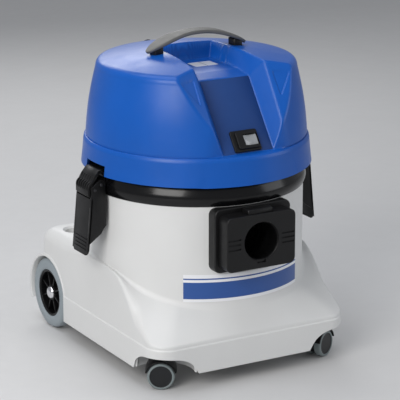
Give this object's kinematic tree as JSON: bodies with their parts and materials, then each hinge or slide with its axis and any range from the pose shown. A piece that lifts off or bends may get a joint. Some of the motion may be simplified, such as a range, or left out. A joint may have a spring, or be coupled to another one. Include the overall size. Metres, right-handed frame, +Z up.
{
  "type": "shop vacuum",
  "caption": "Wheeled wet and dry shop vacuum: round tank on a moulded base, clip-on motor head with a strap handle, front hose inlet and rear tool sockets.",
  "frame": {"origin": "bottom centre of the bounding box, on the floor", "axes": "+Z up, the hose inlet and switch face -Y, the rear wheels are at +Y, X is symmetric"},
  "size_m": [0.392, 0.432, 0.488],
  "materials": {
    "white_body": "fine grained moulded plastic",
    "blue_cover": "fine grained moulded plastic",
    "panel_grey": "matt inset panel",
    "black_gloss": "satin black moulding",
    "black_matte": "matt black moulding",
    "smoke_cover": "translucent splash cover",
    "sticker": "plain printed film",
    "rubber_seal": "soft seal",
    "tyre_grey": "grey rubber tyre",
    "caster_grey": "grey rubber tread",
    "steel": "zinc plated",
    "chrome_cap": "bright push-on cap",
    "alu": "as pressed",
    "stator": "laminated motor frame",
    "copper": "wound rotor",
    "orange": "float",
    "filter_paper": "pleated paper"
  },
  "bodies": {
    "base": {"tank_shell": "white_body", "base_front": "white_body", "base_rear": "white_body", "tool_cups": "white_body", "tank_ring": "black_gloss", "deck_seals": "rubber_seal", "tank_sticker": "sticker", "inlet_flange": "black_matte", "inlet_box": "black_matte", "inlet_deflector": "black_matte", "button_spring": "steel", "rear_axle": "steel", "axle_caps": "chrome_cap", "caster_sockets": "black_matte", "latch_brackets": "black_matte", "lever_pins": "steel", "head_cover": "blue_cover", "control_panel": "panel_grey", "switch_body": "black_matte", "switch_bezel": "black_gloss", "rating_label": "sticker", "handle_strap": "black_matte", "handle_feet": "black_matte", "fixing_screws": "steel", "cable_outlet": "black_matte", "motor_deck": "black_matte", "fan_housing": "alu", "motor_frame": "stator", "motor_bearings": "steel", "float_cage": "black_matte", "filter_pleats": "filter_paper", "filter_caps": "black_matte"},
    "rotor": {"armature": "copper", "impeller": "alu", "cooling_fan": "black_matte"},
    "float": {"float_ball": "orange"},
    "button": {"release_button": "black_gloss"},
    "rocker": {"switch_rocker": "smoke_cover"},
    "wheel_left": {"wheel_hub_left": "black_matte", "tyre_left": "tyre_grey"},
    "caster_left": {"caster_pins_left": "steel", "caster_hood_left": "black_matte"},
    "caster_wheel_left_outer": {"caster_wheel_left_outer": "black_matte", "caster_tread_left_outer": "caster_grey"},
    "caster_wheel_left_inner": {"caster_wheel_left_inner": "black_matte", "caster_tread_left_inner": "caster_grey"},
    "lever_left": {"latch_lever_left": "black_matte", "hook_pin_left": "steel"},
    "hook_left": {"latch_hook_left": "black_matte"},
    "wheel_right": {"wheel_hub_right": "black_matte", "tyre_right": "tyre_grey"},
    "caster_right": {"caster_pins_right": "steel", "caster_hood_right": "black_matte"},
    "caster_wheel_right_outer": {"caster_wheel_right_outer": "black_matte", "caster_tread_right_outer": "caster_grey"},
    "caster_wheel_right_inner": {"caster_wheel_right_inner": "black_matte", "caster_tread_right_inner": "caster_grey"},
    "lever_right": {"latch_lever_right": "black_matte", "hook_pin_right": "steel"},
    "hook_right": {"latch_hook_right": "black_matte"}
  },
  "joints": [
    {"name": "wheel_left_spin", "type": "hinge", "parent": "base", "child": "wheel_left", "pos_m": [-0.151, 0.154, 0.055], "axis": [1, 0, 0], "continuous": true},
    {"name": "caster_left_swivel", "type": "hinge", "parent": "base", "child": "caster_left", "pos_m": [-0.142, -0.156, 0.066], "axis": [0, 0, 1], "continuous": true},
    {"name": "caster_left_outer_spin", "type": "hinge", "parent": "caster_left", "child": "caster_wheel_left_outer", "pos_m": [-0.13421, -0.1605, 0.02], "axis": [0.5, 0.866, 0], "continuous": true},
    {"name": "caster_left_inner_spin", "type": "hinge", "parent": "caster_left", "child": "caster_wheel_left_inner", "pos_m": [-0.13421, -0.1605, 0.02], "axis": [0.5, 0.866, 0], "continuous": true},
    {"name": "wheel_right_spin", "type": "hinge", "parent": "base", "child": "wheel_right", "pos_m": [0.151, 0.154, 0.055], "axis": [1, 0, 0], "continuous": true},
    {"name": "caster_right_swivel", "type": "hinge", "parent": "base", "child": "caster_right", "pos_m": [0.142, -0.156, 0.066], "axis": [0, 0, 1], "continuous": true},
    {"name": "caster_right_outer_spin", "type": "hinge", "parent": "caster_right", "child": "caster_wheel_right_outer", "pos_m": [0.13398, -0.16009, 0.02], "axis": [0.454, -0.891, 0], "continuous": true},
    {"name": "caster_right_inner_spin", "type": "hinge", "parent": "caster_right", "child": "caster_wheel_right_inner", "pos_m": [0.13398, -0.16009, 0.02], "axis": [0.454, -0.891, 0], "continuous": true},
    {"name": "latch_left", "type": "hinge", "parent": "base", "child": "lever_left", "pos_m": [-0.171, -0.028, 0.28], "axis": [0, 1, 0], "range_deg": [0, 72]},
    {"name": "hook_left_turn", "type": "hinge", "parent": "lever_left", "child": "hook_left", "pos_m": [-0.181, -0.028, 0.273], "axis": [0, 1, 0], "range_deg": [-104.9, 0.5]},
    {"name": "latch_right", "type": "hinge", "parent": "base", "child": "lever_right", "pos_m": [0.171, -0.028, 0.28], "axis": [0, -1, 0], "range_deg": [0, 72]},
    {"name": "hook_right_turn", "type": "hinge", "parent": "lever_right", "child": "hook_right", "pos_m": [0.181, -0.028, 0.273], "axis": [0, -1, 0], "range_deg": [-104.9, 0.5]},
    {"name": "rocker_tilt", "type": "hinge", "parent": "base", "child": "rocker", "pos_m": [0.0075, -0.16346, 0.34564], "axis": [0, 0.5948, 0.8039], "range_deg": [-10, 10]},
    {"name": "release_press", "type": "slide", "parent": "base", "child": "button", "axis": [0, 0, -1], "range_m": [0, 0.003], "stiffness_N_per_m": 400, "springref_m": -0.002, "deforming": ["button_spring"]},
    {"name": "rotor_spin", "type": "hinge", "parent": "base", "child": "rotor", "pos_m": [0, -0.028, 0.35], "axis": [0, 0, 1], "continuous": true},
    {"name": "float_rise", "type": "slide", "parent": "base", "child": "float", "axis": [0, 0, 1], "range_m": [0, 0.02]}
  ],
  "couplings": [
    {"joint": "hook_left_turn", "follows": "latch_left", "ratio": -1.45},
    {"joint": "hook_right_turn", "follows": "latch_right", "ratio": -1.45}
  ]
}
